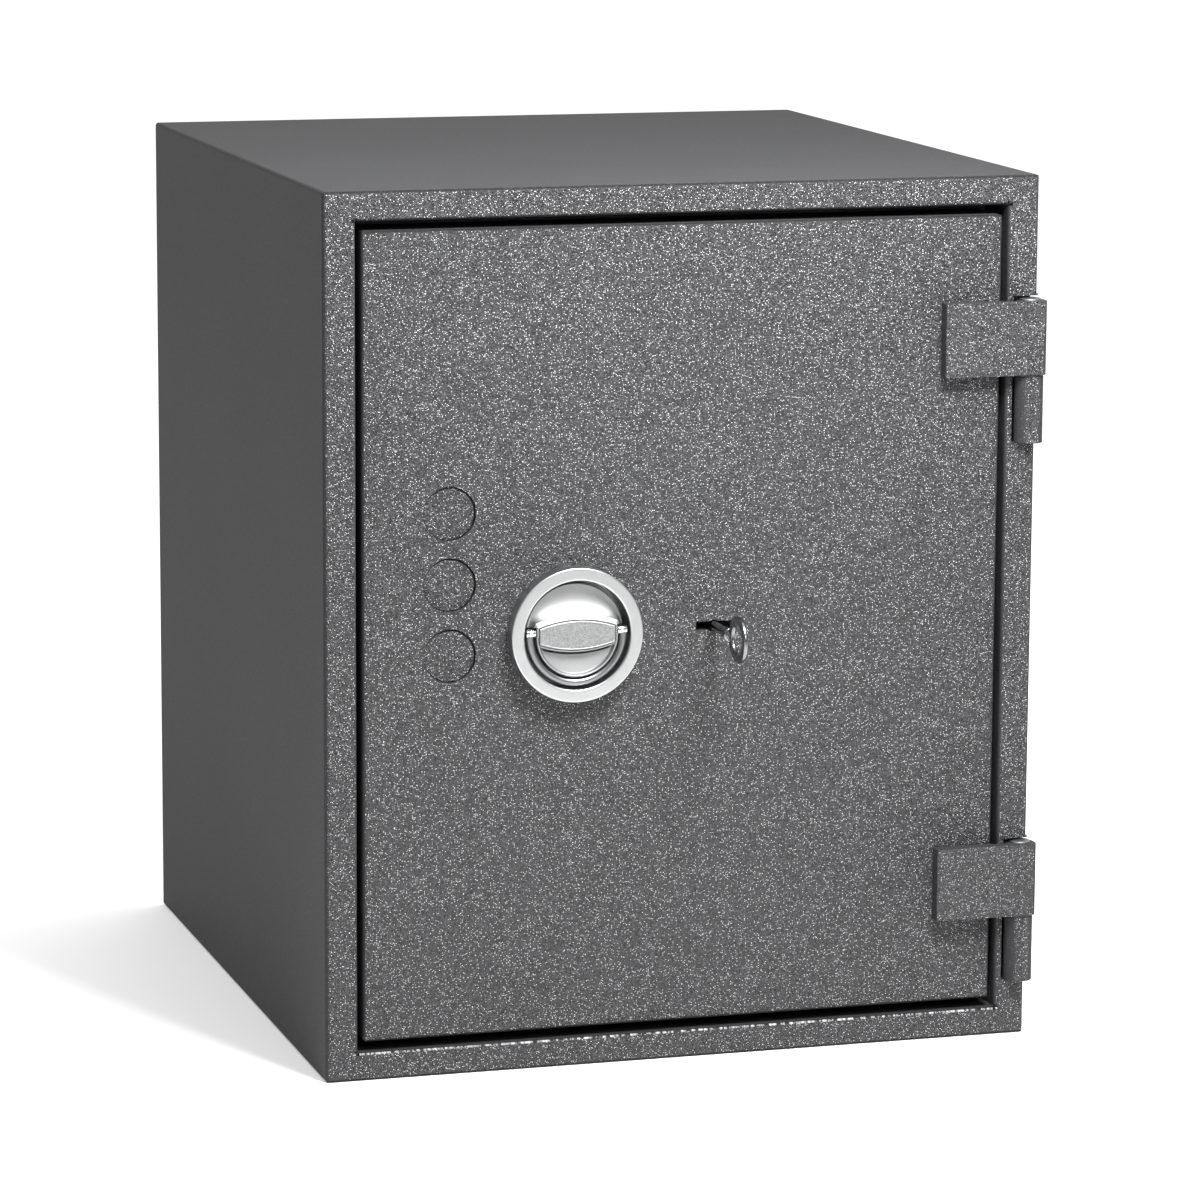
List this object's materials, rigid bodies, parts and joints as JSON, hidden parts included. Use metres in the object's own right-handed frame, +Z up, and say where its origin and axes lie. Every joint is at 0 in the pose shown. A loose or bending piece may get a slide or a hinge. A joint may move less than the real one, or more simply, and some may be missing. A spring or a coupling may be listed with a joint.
{
  "type": "key locking safe",
  "caption": "Free-standing double-walled steel safe with a hinged door, flush ring handle, key lock, sliding bolts and an inside shelf.",
  "frame": {"origin": "centre of the base, on the surface the safe stands on", "axes": "+Z up, -Y out of the door, +X to the right as seen from the front, where the hinges are"},
  "size_m": [0.505, 0.6, 0.6],
  "materials": {
    "body_paint": "fine textured graphite grey paint",
    "frame_paint": "graphite grey paint",
    "door_paint": "coarse textured graphite grey paint",
    "inner_paint": "smooth light grey paint",
    "concrete": "cast mineral infill",
    "zinc_plate": "zinc plated",
    "turned_steel": "turned, bright",
    "screw_steel": "zinc plated",
    "brass": "machined",
    "lock_metal": "die-cast",
    "ring_metal": "satin nickel",
    "rotor_metal": "satin nickel",
    "grip_metal": "fine bead blasted",
    "chrome": "polished",
    "key_steel": "polished steel",
    "seal_rubber": "matt"
  },
  "bodies": {
    "cabinet": {"outer_shell": "body_paint", "rear_panel": "body_paint", "wall_infill": "concrete", "bolt_frame": "frame_paint", "inner_liner": "inner_paint", "hinge_recesses": "body_paint", "hinge_knuckles": "body_paint", "hinge_pins": "turned_steel", "hinge_washers": "turned_steel", "shelf": "inner_paint", "shelf_pins": "turned_steel", "anchor_sleeves": "zinc_plate"},
    "door": {"door_plate": "door_paint", "door_infill": "concrete", "mounting_plate": "zinc_plate", "door_cover": "inner_paint", "door_seal": "seal_rubber", "hinge_straps": "door_paint", "blanking_discs": "door_paint", "fixed_dogs": "turned_steel", "dog_rail": "zinc_plate", "bolt_guide_rail": "zinc_plate", "rod_guides": "zinc_plate", "bar_guides": "zinc_plate", "cover_standoffs": "turned_steel", "cover_screws": "screw_steel", "plate_screws": "screw_steel", "handle_housing": "ring_metal", "handle_screws": "screw_steel", "spindle_bush": "brass", "key_tube": "zinc_plate", "lock_case": "lock_metal", "lock_cover": "lock_metal", "lock_screws": "screw_steel", "lever_post": "turned_steel"},
    "handle": {"handle_rotor": "rotor_metal", "grip_plate": "grip_metal", "bail_pins": "chrome", "spindle": "turned_steel", "pinion": "turned_steel", "spindle_clip": "screw_steel"},
    "handle_bail": {"bail": "chrome"},
    "main_bolts": {"bolt_carrier": "zinc_plate", "lock_bolts": "turned_steel", "carrier_screws": "screw_steel", "rack_bar": "zinc_plate", "locking_bar": "zinc_plate"},
    "upper_bolt": {"top_rod": "zinc_plate", "top_bolt": "turned_steel"},
    "lower_bolt": {"bottom_rod": "zinc_plate", "bottom_bolt": "turned_steel"},
    "curtain": {"key_curtain": "brass"},
    "key_body": {"key": "key_steel"},
    "key_bolt": {"key_lock_bolt": "brass"},
    "lever_pack": {"levers": "brass", "lever_springs": "screw_steel"}
  },
  "joints": [
    {"name": "door_swing", "type": "hinge", "parent": "cabinet", "child": "door", "pos_m": [0.245, -0.2635, 0.3], "axis": [0, 0, 1], "range_deg": [0, 180]},
    {"name": "handle_turn", "type": "hinge", "parent": "door", "child": "handle", "pos_m": [-0.0785, -0.225, 0.3], "axis": [0, 1, 0], "range_deg": [0, 90]},
    {"name": "bail_lift", "type": "hinge", "parent": "handle", "child": "handle_bail", "pos_m": [-0.0785, -0.2715, 0.302], "axis": [-1, 0, 0], "range_deg": [0, 95]},
    {"name": "main_bolt_slide", "type": "slide", "parent": "door", "child": "main_bolts", "axis": [-1, 0, 0], "range_m": [0, 0.02356]},
    {"name": "upper_bolt_slide", "type": "slide", "parent": "door", "child": "upper_bolt", "axis": [0, 0, 1], "range_m": [0, 0.02357]},
    {"name": "lower_bolt_slide", "type": "slide", "parent": "door", "child": "lower_bolt", "axis": [0, 0, -1], "range_m": [0, 0.02357]},
    {"name": "key_turn", "type": "hinge", "parent": "door", "child": "curtain", "pos_m": [0.0205, -0.225, 0.3], "axis": [0, 1, 0], "range_deg": [0, 180]},
    {"name": "key_insert", "type": "slide", "parent": "curtain", "child": "key_body", "axis": [0, 1, 0], "range_m": [-0.066, 0]},
    {"name": "key_bolt_slide", "type": "slide", "parent": "door", "child": "key_bolt", "axis": [0, 0, -1], "range_m": [0, 0.01]},
    {"name": "lever_lift", "type": "hinge", "parent": "door", "child": "lever_pack", "pos_m": [0.0205, -0.207, 0.335], "axis": [0, 1, 0], "range_deg": [0, 5.41]}
  ],
  "couplings": [
    {"joint": "handle_turn", "follows": "main_bolt_slide", "rad_per_m": 66.667},
    {"joint": "upper_bolt_slide", "follows": "main_bolt_slide", "ratio": 1},
    {"joint": "lower_bolt_slide", "follows": "main_bolt_slide", "ratio": 1},
    {"joint": "key_turn", "follows": "key_bolt_slide", "rad_per_m": 314.16},
    {"joint": "lever_lift", "follows": "key_bolt_slide", "rad_per_m": 9.42}
  ]
}
